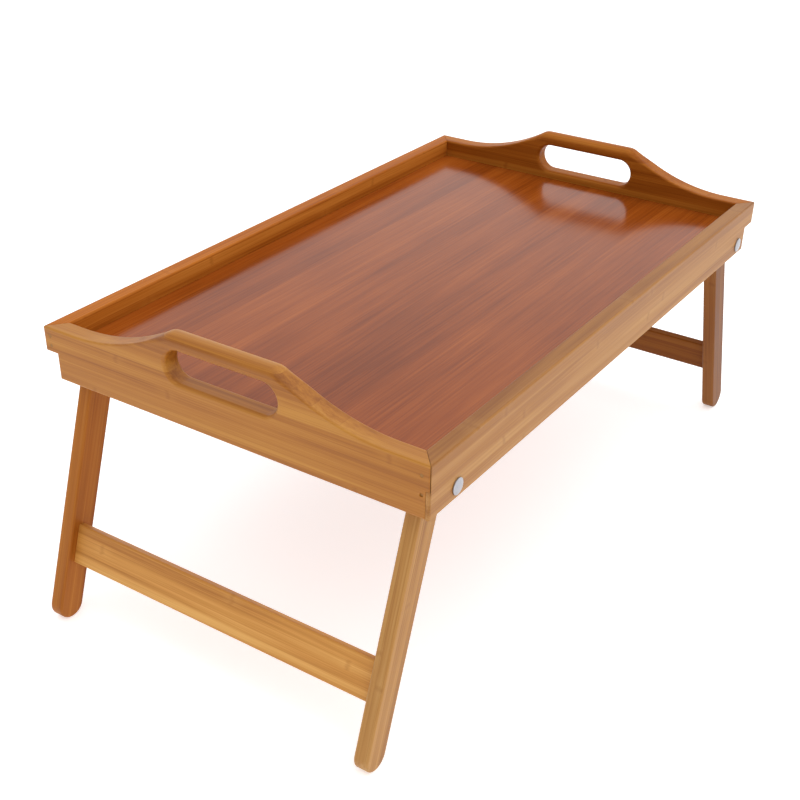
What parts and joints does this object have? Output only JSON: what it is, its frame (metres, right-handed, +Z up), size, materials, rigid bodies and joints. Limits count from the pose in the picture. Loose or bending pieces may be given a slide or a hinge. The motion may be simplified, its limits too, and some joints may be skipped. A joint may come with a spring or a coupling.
{
  "type": "folding tray table",
  "caption": "Rectangular bamboo serving tray with raised cut-out handles at both ends and folding leg frames that splay outwards on pivot bolts.",
  "frame": {"origin": "on the ground, under the middle of the open table", "axes": "+X along the tray towards the right end panel, +Y across it towards the back rail, +Z up"},
  "size_m": [0.582, 0.3066, 0.2382],
  "materials": {
    "frame_bamboo": "satin lacquered bamboo strip board",
    "leg_bamboo": "satin lacquered bamboo strip",
    "floor_bamboo": "glossy lacquered, stained darker than the frame",
    "plated_steel": "bright plated",
    "brad_steel": "dull",
    "nylon": "natural nylon"
  },
  "bodies": {
    "tray": {"end_panel_left": "frame_bamboo", "end_panel_right": "frame_bamboo", "rail_front": "frame_bamboo", "rail_back": "frame_bamboo", "floor_board": "floor_bamboo", "pivot_bolt_left_front": "plated_steel", "pivot_bolt_left_back": "plated_steel", "pivot_bolt_right_front": "plated_steel", "pivot_bolt_right_back": "plated_steel", "spacer_washer_left_front": "nylon", "spacer_washer_left_back": "nylon", "spacer_washer_right_front": "nylon", "spacer_washer_right_back": "nylon", "nut_washer_left_front": "plated_steel", "nut_washer_left_back": "plated_steel", "nut_washer_right_front": "plated_steel", "nut_washer_right_back": "plated_steel", "cap_nut_left_front": "plated_steel", "cap_nut_left_back": "plated_steel", "cap_nut_right_front": "plated_steel", "cap_nut_right_back": "plated_steel", "corner_brads": "brad_steel"},
    "left_legs": {"leg_left_front": "leg_bamboo", "leg_left_back": "leg_bamboo", "crossbar_left": "leg_bamboo"},
    "right_legs": {"leg_right_front": "leg_bamboo", "leg_right_back": "leg_bamboo", "crossbar_right": "leg_bamboo"}
  },
  "joints": [
    {"name": "left_legs_fold", "type": "hinge", "parent": "tray", "child": "left_legs", "pos_m": [-0.22063, 0, 0.18448], "axis": [0, -1, 0], "range_deg": [0, 109]},
    {"name": "right_legs_fold", "type": "hinge", "parent": "tray", "child": "right_legs", "pos_m": [0.22063, 0, 0.18448], "axis": [0, 1, 0], "range_deg": [0, 109]}
  ]
}
